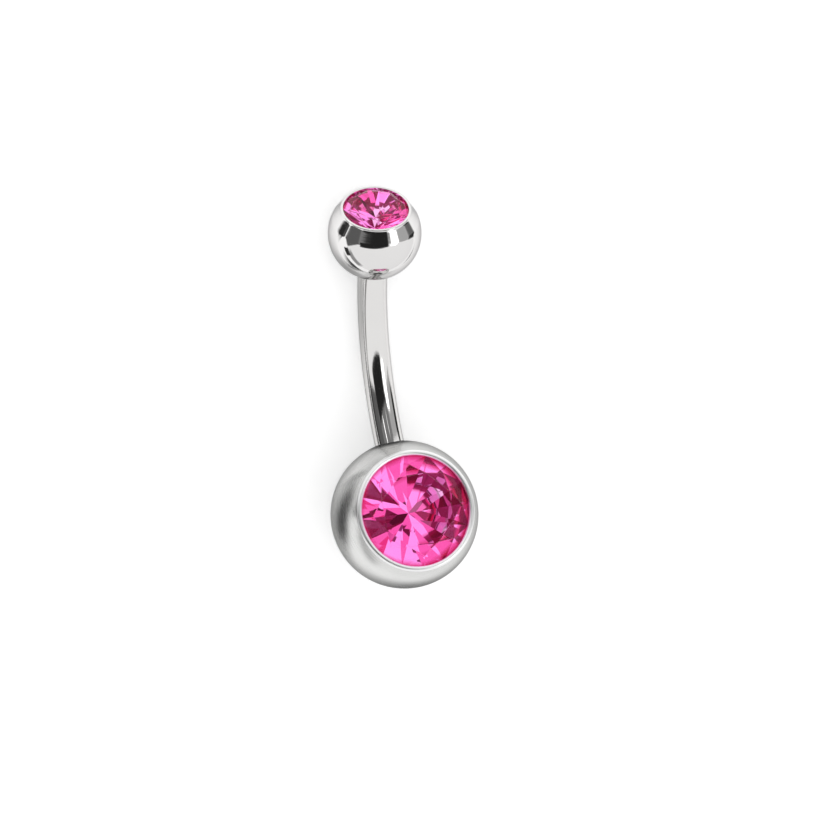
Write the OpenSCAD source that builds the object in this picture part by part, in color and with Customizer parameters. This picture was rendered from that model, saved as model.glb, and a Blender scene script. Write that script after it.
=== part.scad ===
// Curved barbell for a navel piercing, in millimetres.
// A bent steel bar carries a large jewelled ball, fixed at its lower end with the stone facing
// forward, and a small jewelled ball that screws onto its threaded upper end.
// It lies on its two balls with the stones up and the bow of the bar down, +Z up.

/* [Bar] */
// Diameter of the bar
bar_d = 1.6; // [1.2:0.05:2]
// Straight distance between the two balls, measured from seat to seat
bar_length = 10; // [8:0.5:14]
// Angle that the bar turns through from one end to the other
bend_angle = 46; // [20:1:60]
// Diameter of the tenon that is pressed into the lower ball
tenon_d = 1.2; // [0.8:0.05:1.4]
// Length of that tenon
tenon_length = 1.4; // [1:0.1:1.6]

/* [Thread] */
// Outer diameter of the thread on the bar's upper end
thread_d = 1.4; // [1.1:0.05:1.5]
// Height of the thread's ridges
thread_depth = 0.18; // [0.1:0.01:0.25]
// Advance of the thread in one turn
thread_pitch = 0.32; // [0.25:0.01:0.4]
// Length of thread that stands above the bar's shoulder
thread_length = 1.5; // [1.2:0.05:1.6]

/* [Lower ball] */
// Diameter of the lower ball
lower_ball_d = 8; // [7.5:0.1:9]
// Diameter of the lower stone at its girdle
lower_stone_d = 6.2; // [5.6:0.05:6.4]
// Radius of the rounded lip that holds the lower stone
lower_lip_r = 0.16; // [0.12:0.01:0.18]
// Overlap of that lip over the lower stone's edge
lower_lip_overlap = 0.1; // [0.06:0.01:0.15]

/* [Upper ball] */
// Diameter of the upper ball
upper_ball_d = 5; // [4.8:0.1:6]
// Diameter of the upper stone at its girdle
upper_stone_d = 3.6; // [3.2:0.05:3.7]
// Radius of the rounded lip that holds the upper stone
upper_lip_r = 0.09; // [0.07:0.01:0.11]
// Overlap of that lip over the upper stone's edge
upper_lip_overlap = 0.06; // [0.04:0.01:0.1]
// Height of the turned cone below the upper ball's lip
upper_cone_height = 0.66; // [0.3:0.02:0.8]

/* [Stones] */
// Width of the table as a share of the stone's diameter
table_share = 0.66; // [0.5:0.01:0.72]
// Slope of the main facets above the girdle, in degrees
crown_angle = 32; // [26:1:38]
// Slope of the main facets below the girdle, in degrees
pavilion_angle = 39; // [36:1:41]
// Thickness of the lower stone's girdle
lower_girdle = 0.12; // [0.08:0.01:0.2]
// Thickness of the upper stone's girdle
upper_girdle = 0.07; // [0.05:0.01:0.12]
// Turn of the lower stone in its seat, in degrees
lower_stone_turn = 12; // [0:1:45]
// Turn of the upper stone in its seat, in degrees
upper_stone_turn = 0; // [0:1:45]

/* [Clearances] */
// Gap between a stone and its seat
stone_gap = 0.02; // [0.01:0.005:0.03]
// Radial gap of the tenon in the lower ball and of the thread in the upper ball
bore_gap = 0.02; // [0.01:0.005:0.04]
// Gap between each end of the bar and the flat that it meets on a ball
seat_gap = 0.01; // [0.005:0.005:0.03]

/* [Hidden] */
$fn = 96;

steel = [0.78, 0.78, 0.77];
crystal_pink = [0.93, 0.16, 0.55];

bar_r = bar_d / 2;
half_bend = bend_angle / 2;
lower_r = lower_ball_d / 2;
upper_r = upper_ball_d / 2;

// Proportions of the cut, 8-fold: how far the star facets reach down the crown,
// and how far the lower half facets reach down the pavilion
folds = 8;
star_share = 0.5;
lower_half_share = 0.78;

// Share of the lip's radius that stands outside the window
lip_stand_share = 0.8;
// Depth of the stone's edge below the lip's centre, as a share of the lip's radius
lip_cover_share = 0.6;

// Chamfer of the thread's tip
tip_chamfer = 0.12;
// How far the tenon and the thread run on inside the bar
root_run = 0.3;
// Free depth of a ball's bore beyond the tenon or the thread
bore_end_gap = 0.1;
// Depth of a seat's point beyond the stone's culet
culet_gap = 0.08;
// Sides and steps of a turn of the thread
thread_sides = 20;
thread_steps = 10;

// Flats that the bar meets on the two balls, as distances from the balls' centres
lower_seat = sqrt(pow(lower_r, 2) - pow(bar_r, 2));
upper_seat = sqrt(pow(upper_r, 2) - pow(bar_r, 2));

// The bar's own frame: the middle of its bow at the origin, its chord along X, the bow down
bend_r = bar_length / 2 / sin(half_bend);
bar_end_x = bar_length / 2;
bar_end_z = bend_r * (1 - cos(half_bend));
lower_run = lower_seat + seat_gap;
upper_run = upper_seat + seat_gap;
lower_centre = [-bar_end_x - lower_run * cos(half_bend), bar_end_z + lower_run * sin(half_bend)];
upper_centre = [bar_end_x + upper_run * cos(half_bend), bar_end_z + upper_run * sin(half_bend)];

// How the piece lies: both balls touch the surface, so the line of their centres slopes
centres = upper_centre - lower_centre;
centre_span = norm(centres);
rest_slope = asin((lower_r - upper_r) / centre_span);
centres_tilt = atan2(centres[1], centres[0]);

// The bow hangs between the balls. One too deep for that rests on the surface too, and the
// piece is rolled about the line of the centres until the bow's lowest point meets the surface.
bow = [0, bend_r] - lower_centre;
bow_along = bow * centres / centre_span;
bow_above = (centres[0] * bow[1] - centres[1] * bow[0]) / centre_span;
level = lower_r - bar_r - bow_along * sin(rest_slope);
lift = bow_above * cos(rest_slope);
deficit = pow(bend_r * cos(rest_slope), 2) - pow(lift, 2);
excess = pow(level, 2) - pow(bend_r * sin(rest_slope), 2);
rest_roll = acos(min(1, (level * lift + sqrt(pow(level * lift, 2) + deficit * excess)) / deficit));

// Radius of the window in a ball's lip, and the centre of the lip's round section
function window_r(stone_d, overlap) = stone_d / 2 - overlap;
function lip_x(stone_d, overlap, lip_r) = window_r(stone_d, overlap) + lip_stand_share * lip_r;
function lip_h(ball_r, stone_d, overlap, lip_r) =
    sqrt(pow(ball_r, 2) - pow(lip_x(stone_d, overlap, lip_r) + lip_r, 2));
// Height of the lower edge of a stone's girdle above the ball's centre
function girdle_h(ball_r, stone_d, overlap, lip_r, girdle) =
    lip_h(ball_r, stone_d, overlap, lip_r) - lip_cover_share * lip_r - stone_gap
    - overlap * tan(crown_angle) - girdle;
// Height of a stone's table above its girdle's upper edge
function crown_h(stone_d) = stone_d / 2 * (1 - table_share) * tan(crown_angle);

lower_girdle_h = girdle_h(lower_r, lower_stone_d, lower_lip_overlap, lower_lip_r, lower_girdle);
upper_girdle_h = girdle_h(upper_r, upper_stone_d, upper_lip_overlap, upper_lip_r, upper_girdle);

// Reach of the upper ball's lip and of its table along X, so that the origin lies under the
// middle of the piece
upper_tilt = half_bend - centres_tilt;
upper_lean = cos(upper_tilt) * cos(rest_slope) + sin(upper_tilt) * cos(rest_roll) * sin(rest_slope);
function ring_reach(h, r) = h * upper_lean + r * sqrt(1 - pow(upper_lean, 2));
lip_reach = upper_lip_r + ring_reach(
    lip_h(upper_r, upper_stone_d, upper_lip_overlap, upper_lip_r),
    lip_x(upper_stone_d, upper_lip_overlap, upper_lip_r));
table_reach = ring_reach(
    upper_girdle_h + upper_girdle + crown_h(upper_stone_d), upper_stone_d / 2 * table_share);
lower_x = (lower_r - centre_span * cos(rest_slope) - max(lip_reach, table_reach)) / 2;

// Places children of the bar's frame as the piece lies
module lying() {
    translate([lower_x, 0, lower_r])
        rotate([0, rest_slope, 0])
            rotate([rest_roll, 0, 0])
                rotate([0, centres_tilt, 0])
                    translate([-lower_centre[0], 0, -lower_centre[1]])
                        children();
}

// The lower ball's frame: +Z through its stone, +X towards the bar
module at_lower_ball() {
    lying()
        translate([lower_centre[0], 0, lower_centre[1]])
            rotate([0, half_bend, 0])
                children();
}

// The upper ball's frame: +Z through its stone, -Z towards the bar
module at_upper_ball() {
    lying()
        translate([upper_centre[0], 0, upper_centre[1]])
            rotate([0, 90 - half_bend, 0])
                children();
}

// Half section of a ball with a rounded lip, a turned cone below it and a seat for its stone
module ball_section(ball_r, stone_d, girdle, girdle_base, overlap, lip_r, cone_height) {
    stone_r = stone_d / 2;
    window = window_r(stone_d, overlap);
    lip = [lip_x(stone_d, overlap, lip_r), lip_h(ball_r, stone_d, overlap, lip_r)];
    seat_r = stone_r + stone_gap;
    under_lip = girdle_base + girdle + stone_gap;
    above_lip = lip[1] + 2 * lip_r;
    cone_base = lip[1] - cone_height;
    cone_r = sqrt(pow(ball_r, 2) - pow(cone_base, 2));
    difference() {
        union() {
            intersection() {
                circle(r = ball_r);
                translate([0, -ball_r])
                    square([ball_r, ball_r + lip[1]]);
            }
            translate(lip)
                circle(r = lip_r);
        }
        if (cone_height > 0)
            polygon([
                [cone_r, cone_base],
                [lip[0] + lip_r, lip[1]],
                [ball_r + lip_r, lip[1]],
                [ball_r + lip_r, cone_base]
            ]);
        polygon([
            [0, girdle_base - stone_r * tan(pavilion_angle) - culet_gap],
            [seat_r, girdle_base - stone_gap],
            [seat_r, under_lip],
            [window, under_lip + overlap * tan(crown_angle)],
            [window, above_lip],
            [0, above_lip]
        ]);
    }
}

// Corner of the cut at a radius and height, at a number of half folds round the stone
function facet_corner(r, h, half_folds) =
    [r * cos(half_folds * 180 / folds), r * sin(half_folds * 180 / folds), h];

// Round brilliant cut, its girdle's lower edge at height 0
module cut_stone(stone_d, girdle) {
    stone_r = stone_d / 2;
    table_r = stone_r * table_share;
    table_h = girdle + crown_h(stone_d);
    half_fold = cos(180 / folds);
    star_r = table_r * half_fold + star_share * (stone_r - table_r * half_fold);
    star_h = girdle + (stone_r - star_r * half_fold) * tan(crown_angle);
    low_r = stone_r * (1 - lower_half_share);
    culet_h = -stone_r * tan(pavilion_angle);
    low_h = culet_h + low_r * half_fold * tan(pavilion_angle);
    ring = 2 * folds;
    points = concat(
        [for (k = [0:folds - 1]) facet_corner(table_r, table_h, 2 * k)],
        [for (k = [0:folds - 1]) facet_corner(star_r, star_h, 2 * k + 1)],
        [for (k = [0:ring - 1]) facet_corner(stone_r, girdle, k)],
        [for (k = [0:ring - 1]) facet_corner(stone_r, 0, k)],
        [for (k = [0:folds - 1]) facet_corner(low_r, low_h, 2 * k + 1)],
        [[0, 0, culet_h]]
    );
    star0 = folds;
    top0 = 2 * folds;
    base0 = top0 + ring;
    low0 = base0 + ring;
    culet = low0 + folds;
    faces = concat(
        // Table, main facets, star facets and upper half facets
        [[for (k = [folds - 1:-1:0]) k]],
        [for (k = [0:folds - 1])
            [k, star0 + k, top0 + 2 * k, star0 + (k + folds - 1) % folds]],
        [for (k = [0:folds - 1]) [k, (k + 1) % folds, star0 + k]],
        [for (k = [0:folds - 1]) [star0 + k, top0 + 2 * k + 1, top0 + 2 * k]],
        [for (k = [0:folds - 1]) [star0 + k, top0 + (2 * k + 2) % ring, top0 + 2 * k + 1]],
        // Girdle
        [for (k = [0:ring - 1])
            [top0 + k, top0 + (k + 1) % ring, base0 + (k + 1) % ring, base0 + k]],
        // Lower half facets and pavilion mains
        [for (k = [0:folds - 1]) [low0 + k, base0 + 2 * k, base0 + 2 * k + 1]],
        [for (k = [0:folds - 1]) [low0 + k, base0 + 2 * k + 1, base0 + (2 * k + 2) % ring]],
        [for (k = [0:folds - 1])
            [culet, low0 + (k + folds - 1) % folds, base0 + 2 * k, low0 + k]]
    );
    polyhedron(points = points, faces = faces);
}

// Thread as a round turned off its axis, with a short taper at its tip
module threaded_end() {
    run = root_run + thread_length - tip_chamfer;
    turns = run / thread_pitch;
    tip_r = thread_d / 2 - thread_depth;
    translate([0, 0, -root_run])
        linear_extrude(height = run, twist = -360 * turns, slices = ceil(turns * thread_steps),
                       $fn = thread_sides)
            translate([thread_depth / 2, 0])
                circle(d = thread_d - thread_depth);
    translate([0, 0, thread_length - tip_chamfer])
        cylinder(r1 = tip_r, r2 = tip_r - tip_chamfer, h = tip_chamfer);
}

// Bent bar: pressed into the lower ball at one end, threaded at the other
module curved_bar() {
    color(steel)
        lying() {
            translate([0, 0, bend_r])
                rotate([90, 0, 0])
                    rotate([0, 0, -90 - half_bend])
                        rotate_extrude(angle = bend_angle)
                            translate([bend_r, 0])
                                circle(r = bar_r);
            translate([-bar_end_x, 0, bar_end_z])
                rotate([0, 90 + half_bend, 0])
                    translate([0, 0, -tenon_length])
                        cylinder(d = tenon_d, h = tenon_length + root_run);
            translate([bar_end_x, 0, bar_end_z])
                rotate([0, 90 - half_bend, 0])
                    threaded_end();
        }
}

// Bore in a ball and the flat round it that the bar's end meets, the bar coming from +Z
module bar_seat(ball_r, seat, bore_r, bore_depth) {
    translate([0, 0, seat - bore_depth])
        cylinder(r = bore_r, h = bore_depth + ball_r);
    translate([0, 0, seat])
        cylinder(r = 2 * bar_r, h = ball_r);
}

// Fixed ball with its stone facing forward and a socket for the bar in its side
module lower_ball() {
    color(steel)
        at_lower_ball()
            difference() {
                rotate_extrude()
                    ball_section(lower_r, lower_stone_d, lower_girdle, lower_girdle_h,
                                 lower_lip_overlap, lower_lip_r, 0);
                rotate([0, 90, 0])
                    bar_seat(lower_r, lower_seat, tenon_d / 2 + bore_gap,
                             tenon_length + bore_end_gap);
            }
}

// Screw-on ball with its stone opposite the bar
module upper_ball() {
    color(steel)
        at_upper_ball()
            difference() {
                rotate_extrude()
                    ball_section(upper_r, upper_stone_d, upper_girdle, upper_girdle_h,
                                 upper_lip_overlap, upper_lip_r, upper_cone_height);
                rotate([180, 0, 0])
                    bar_seat(upper_r, upper_seat, thread_d / 2 + bore_gap,
                             thread_length + bore_end_gap);
            }
}

module lower_stone() {
    color(crystal_pink)
        at_lower_ball()
            translate([0, 0, lower_girdle_h])
                rotate([0, 0, lower_stone_turn])
                    cut_stone(lower_stone_d, lower_girdle);
}

module upper_stone() {
    color(crystal_pink)
        at_upper_ball()
            translate([0, 0, upper_girdle_h])
                rotate([0, 0, upper_stone_turn])
                    cut_stone(upper_stone_d, upper_girdle);
}

curved_bar();
lower_ball();
lower_stone();
upper_ball();
upper_stone();
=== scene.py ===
"""Navel ring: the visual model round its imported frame, in a small white studio."""

import enum
import logging
import math
from collections.abc import Sequence
from dataclasses import dataclass, field
from typing import Any, ClassVar

import bpy
from mathutils import Matrix, Vector


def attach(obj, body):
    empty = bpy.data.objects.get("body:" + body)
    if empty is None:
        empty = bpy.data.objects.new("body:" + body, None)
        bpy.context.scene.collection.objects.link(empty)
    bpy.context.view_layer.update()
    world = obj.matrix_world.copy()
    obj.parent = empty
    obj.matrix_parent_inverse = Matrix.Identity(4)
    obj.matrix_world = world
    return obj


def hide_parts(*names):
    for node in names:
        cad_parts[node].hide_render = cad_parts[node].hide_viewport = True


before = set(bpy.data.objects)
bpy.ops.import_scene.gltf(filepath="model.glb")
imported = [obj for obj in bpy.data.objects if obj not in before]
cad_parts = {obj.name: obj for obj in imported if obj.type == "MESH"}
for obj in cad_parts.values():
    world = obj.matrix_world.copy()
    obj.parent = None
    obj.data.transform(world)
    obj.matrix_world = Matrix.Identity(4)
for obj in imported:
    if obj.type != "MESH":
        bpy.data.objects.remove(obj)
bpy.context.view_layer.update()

LOG = logging.getLogger("navel_ring")
MM = 0.001

Colour = tuple[float, float, float]
Point = tuple[float, float]

BLACK: Colour = (0.0, 0.0, 0.0)
WHITE: Colour = (1.0, 1.0, 1.0)


class Body(enum.Enum):
    """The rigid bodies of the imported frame."""

    BAR = "bar"
    SCREW_BALL = "screw_ball"


class Slot(enum.Enum):
    """The record's material slots."""

    POLISHED = "polished_steel"
    SATIN = "satin_steel"
    CRYSTAL = "pink_crystal"


class Shade(enum.Enum):
    """Shades of the mirror backing, each seen on some of a stone's lower facets: rose is the
    backing's own colour, and crimson and plum are painted shade and reflection.
    """

    ROSE = 1
    CRIMSON = 2
    PLUM = 3


class Wire:
    """One output of a shader graph, on which arithmetic adds Math nodes."""

    def __init__(self, graph: "Graph", socket: bpy.types.NodeSocket) -> None:
        """Wraps a socket."""
        self.graph = graph
        self.socket = socket

    def _math(self, operation: str, first: Any, second: Any) -> "Wire":
        """Result of a Math node on two wires or numbers."""
        return self.graph.add("ShaderNodeMath", {"operation": operation}, {0: first, 1: second})

    def __add__(self, other: Any) -> "Wire":
        """Sum with a wire or number."""
        return self._math("ADD", self, other)

    def __radd__(self, other: Any) -> "Wire":
        """Sum with a number on the left."""
        return self._math("ADD", other, self)

    def __sub__(self, other: Any) -> "Wire":
        """Difference from a wire or number."""
        return self._math("SUBTRACT", self, other)

    def __rsub__(self, other: Any) -> "Wire":
        """Difference from a number on the left."""
        return self._math("SUBTRACT", other, self)

    def __mul__(self, other: Any) -> "Wire":
        """Product with a wire or number."""
        return self._math("MULTIPLY", self, other)

    def __rmul__(self, other: Any) -> "Wire":
        """Product with a number on the left."""
        return self._math("MULTIPLY", other, self)

    def __truediv__(self, other: Any) -> "Wire":
        """Quotient by a wire or number."""
        return self._math("DIVIDE", self, other)

    def __rtruediv__(self, other: Any) -> "Wire":
        """Quotient of a number on the left by this wire."""
        return self._math("DIVIDE", other, self)


class Graph:
    """The node tree of one material."""

    MIX_LOW: ClassVar[int] = 6
    MIX_HIGH: ClassVar[int] = 7
    MIX_RESULT: ClassVar[int] = 2
    OCTAVES: ClassVar[float] = 3.0

    def __init__(self, tree: bpy.types.NodeTree) -> None:
        """Clears a node tree."""
        self.tree = tree
        tree.nodes.clear()

    def add(
        self,
        kind: str,
        settings: dict[str, Any] | None = None,
        sockets: dict[Any, Any] | None = None,
        out: int | str = 0,
    ) -> Wire:
        """Adds a node, its settings first and its sockets after them.

        Args:
            kind: The node's type.
            settings: Properties of the node, with a ramp's stops under "stops".
            sockets: Values or wires of its inputs, by name or number.
            out: The output to return.

        Returns:
            That output.
        """
        node = self.tree.nodes.new(kind)
        for name, value in (settings or {}).items():
            if name == "stops":
                self._stops(node.color_ramp, value)
            else:
                setattr(node, name, value)
        for name, value in (sockets or {}).items():
            if isinstance(value, Wire):
                self.tree.links.new(value.socket, node.inputs[name])
            else:
                node.inputs[name].default_value = value
        return Wire(self, node.outputs[out] if node.outputs else None)

    @staticmethod
    def _stops(ramp: bpy.types.ColorRamp, stops: Sequence[tuple[float, Colour]]) -> None:
        """Sets the stops of a colour ramp.

        Args:
            ramp: The ramp.
            stops: Each stop's place and colour.
        """
        while len(ramp.elements) < len(stops):
            ramp.elements.new(1.0)
        for element, (place, colour) in zip(ramp.elements, stops):
            element.position = place
            element.color = (*colour, 1.0)

    def place(self, centre: Vector = Vector((0, 0, 0)), turn: Matrix | None = None) -> Wire:
        """Object coordinates, centred on a point and turned into a piece's own axes.

        Args:
            centre: The point that becomes the origin, in metres.
            turn: The piece's axes in the row frame, as a rotation.

        Returns:
            The coordinates, in metres.
        """
        where = self.add("ShaderNodeTexCoord", out="Object")
        moved = self.vector("SUBTRACT", where, centre)
        if turn is None:
            return moved
        angles = turn.to_3x3().inverted().to_euler("XYZ")
        return self.add(
            "ShaderNodeMapping", {"vector_type": "POINT"}, {"Vector": moved, "Rotation": angles}
        )

    def noise(self, where: Wire, grains: float, rough: float = 0.5) -> Wire:
        """Noise from 0 to 1.

        Args:
            where: Coordinates, in metres.
            grains: Grains in a millimetre.
            rough: Share that each finer octave keeps.

        Returns:
            The noise.
        """
        sockets = {"Vector": where, "Scale": grains / MM, "Roughness": rough}
        sockets["Detail"] = self.OCTAVES
        return self.add("ShaderNodeTexNoise", {"noise_dimensions": "3D"}, sockets, "Fac")

    def vector(self, operation: str, *values: Any, out: str = "Vector") -> Wire:
        """Result of a Vector Math node on wires, vectors or both."""
        sockets = dict(enumerate(values))
        return self.add("ShaderNodeVectorMath", {"operation": operation}, sockets, out)

    def blend(self, factor: Wire, low: Any, high: Any) -> Wire:
        """Mixes two colours.

        Args:
            factor: Share of the second colour.
            low: The first colour, or a wire.
            high: The second colour, or a wire.

        Returns:
            The mixed colour.
        """
        low, high = (tone if isinstance(tone, Wire) else (*tone, 1.0) for tone in (low, high))
        sockets = {0: factor, self.MIX_LOW: low, self.MIX_HIGH: high}
        return self.add("ShaderNodeMix", {"data_type": "RGBA"}, sockets, self.MIX_RESULT)

    def ramp(self, factor: Wire, stops: Sequence[tuple[float, Colour]]) -> Wire:
        """Colour by a factor, from stops that give a place and a colour."""
        return self.add("ShaderNodeValToRGB", {"stops": stops}, {"Fac": factor}, "Color")

    def bump(self, height: Wire, depth_mm: float) -> Wire:
        """Normal of a relief whose height from 0 to 1 stands for a depth in millimetres."""
        sockets = {"Height": height, "Distance": depth_mm * MM, "Strength": 1.0}
        return self.add("ShaderNodeBump", None, sockets, "Normal")

    def finish(self, shader: Wire) -> None:
        """Joins a shader to the material's output."""
        self.add("ShaderNodeOutputMaterial", None, {"Surface": shader})

    def surface(self, sockets: dict[str, Any]) -> None:
        """Adds the material's one shader, with the values or wires of its inputs."""
        self.finish(self.add("ShaderNodeBsdfPrincipled", None, sockets, "BSDF"))


@dataclass(frozen=True)
class Finish:
    """A material with a name."""

    name: str

    def material(self) -> bpy.types.Material:
        """Makes the material, or returns the one made before.

        Returns:
            The material.
        """
        made = bpy.data.materials.get(self.name)
        if made:
            return made
        made = bpy.data.materials.new(self.name)
        made.use_nodes = True
        self.fill(Graph(made.node_tree))
        return made

    def fill(self, graph: Graph) -> None:
        """Fills the material's graph."""
        raise NotImplementedError


@dataclass(frozen=True)
class Steel(Finish):
    """Steel with fine handling marks, turned round the axis of its piece.

    Grains are counted in a millimetre. Lengths are in millimetres, but the centre of the
    piece's axes is in metres, as Object coordinates are.
    """

    colour: Colour
    gloss: float
    spread: float
    marks: float
    centre: Vector = Vector((0, 0, 0))
    axes: Matrix | None = None
    turned: float = 0.0
    rim: float = 0.5
    # painted shade: the colour darkens in a ring round the bar's end, on the side along this axis
    joint: Vector | None = None
    joint_r: Point = (1.1, 1.6)
    joint_shade: float = 0.9
    joint_from: Point = (0.4, 0.6)
    joint_span: float = 4.0
    dull: float = 0.94
    cloud_grains: float = 0.45
    ring_grains: float = 14.0
    hair_grains: float = 16.0
    ring_stretch: Colour = (0.04, 0.04, 1.0)
    hair_stretch: Colour = (1.0, 0.08, 1.0)
    grain_rough: float = 0.6
    relief: float = 0.024

    def tone(self, graph: Graph, where: Wire, clouds: Wire) -> Wire:
        """The metal's colour, with painted shade in the corner round the bar's end.

        Args:
            graph: The material's graph.
            where: Place on the piece, in its own axes.
            clouds: Faint clouds.

        Returns:
            The colour.
        """
        dull = tuple(channel * self.dull for channel in self.colour)
        metal = graph.blend(clouds, self.colour, dull)
        if self.joint is None:
            return metal
        cross = graph.vector("CROSS_PRODUCT", where, self.joint)
        away = graph.vector("LENGTH", cross, out="Value")
        along = graph.vector("DOT_PRODUCT", where, self.joint, out="Value")
        near, far = (radius / self.joint_span for radius in self.joint_r)
        start, end = self.joint_from
        ring = graph.ramp(away / (self.joint_span * MM), [(near, WHITE), (far, BLACK)])
        side = graph.ramp(along / MM, [(start, BLACK), (end, WHITE)])
        # painted shade blended into the colour round the bar's end
        return graph.blend(ring * side * self.joint_shade, metal, BLACK)

    def fill(self, graph: Graph) -> None:
        """Fills the graph: faint clouds and hairlines in roughness, a slight relief, and painted
        shade round the bar's end.

        Args:
            graph: The material's graph.
        """
        where = graph.place(self.centre, self.axes)
        clouds = graph.noise(where, self.cloud_grains)
        ring_place = graph.vector("MULTIPLY", where, self.ring_stretch)
        rings = graph.noise(ring_place, self.ring_grains, self.grain_rough)
        hair_place = graph.vector("MULTIPLY", where, self.hair_stretch)
        hairs = graph.noise(hair_place, self.hair_grains, self.grain_rough)
        grain = rings * self.turned + hairs * (1 - self.turned)
        graph.surface(
            {
                "Base Color": self.tone(graph, where, clouds),
                "Metallic": 1.0,
                "Specular Tint": (self.rim, self.rim, self.rim, 1.0),
                "Roughness": self.gloss + (clouds - 0.5) * self.spread + (grain - 0.5) * self.marks,
                "Normal": graph.bump(grain, self.relief * self.marks),
            }
        )


@dataclass(frozen=True)
class Crystal(Finish):
    """Clear tinted glass of a stone's upper facets."""

    tint: Colour
    sheen: Colour
    index: float
    rough: float = 0.0

    def fill(self, graph: Graph) -> None:
        """Fills the graph: glass with one tint through it and one on its reflections.

        Args:
            graph: The material's graph.
        """
        graph.surface(
            {
                "Base Color": (*self.tint, 1.0),
                "Specular Tint": (*self.sheen, 1.0),
                "Roughness": self.rough,
                "IOR": self.index,
                "Transmission Weight": 1.0,
            }
        )


@dataclass(frozen=True)
class Foil(Finish):
    """Mirror backing on a stone's lower facets.

    Its colour deepens between two shares of the stone's radius, as painted shade towards the
    girdle, and it has a faint painted glow that stands in for light lost where a path ends.
    """

    colour: Colour
    painted_glow: Colour = (0.055, 0.003, 0.014)
    deep: Colour = (0.55, 0.03, 0.14)
    deepens: Point = (0.8, 0.94)
    rough: float = 0.02

    def fill(self, graph: Graph) -> None:
        """Fills the graph: a bright metal with a faint painted glow, and painted shade that deepens
        it towards the girdle.

        Args:
            graph: The material's graph.
        """
        out = graph.add("ShaderNodeAttribute", {"attribute_name": Stone.OUT}, out="Fac")
        start, end = self.deepens
        graph.surface(
            {
                # painted shade: darker towards the girdle
                "Base Color": graph.ramp(out, [(start, self.colour), (end, self.deep)]),
                "Metallic": 1.0,
                "Roughness": self.rough,
                # painted glow: the backing shines though it is no lamp
                "Emission Color": (*self.painted_glow, 1.0),
                "Emission Strength": 1.0,
            }
        )


@dataclass(frozen=True)
class Matt(Finish):
    """Plain matt surface of the studio."""

    colour: Colour
    rough: float
    glow: float

    def fill(self, graph: Graph) -> None:
        """Fills the graph: a matt colour, lit a little from below like a light table.

        Args:
            graph: The material's graph.
        """
        graph.surface(
            {
                "Base Color": (*self.colour, 1.0),
                "Roughness": self.rough,
                "Emission Color": (*WHITE, 1.0),
                "Emission Strength": self.glow,
            }
        )


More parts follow.
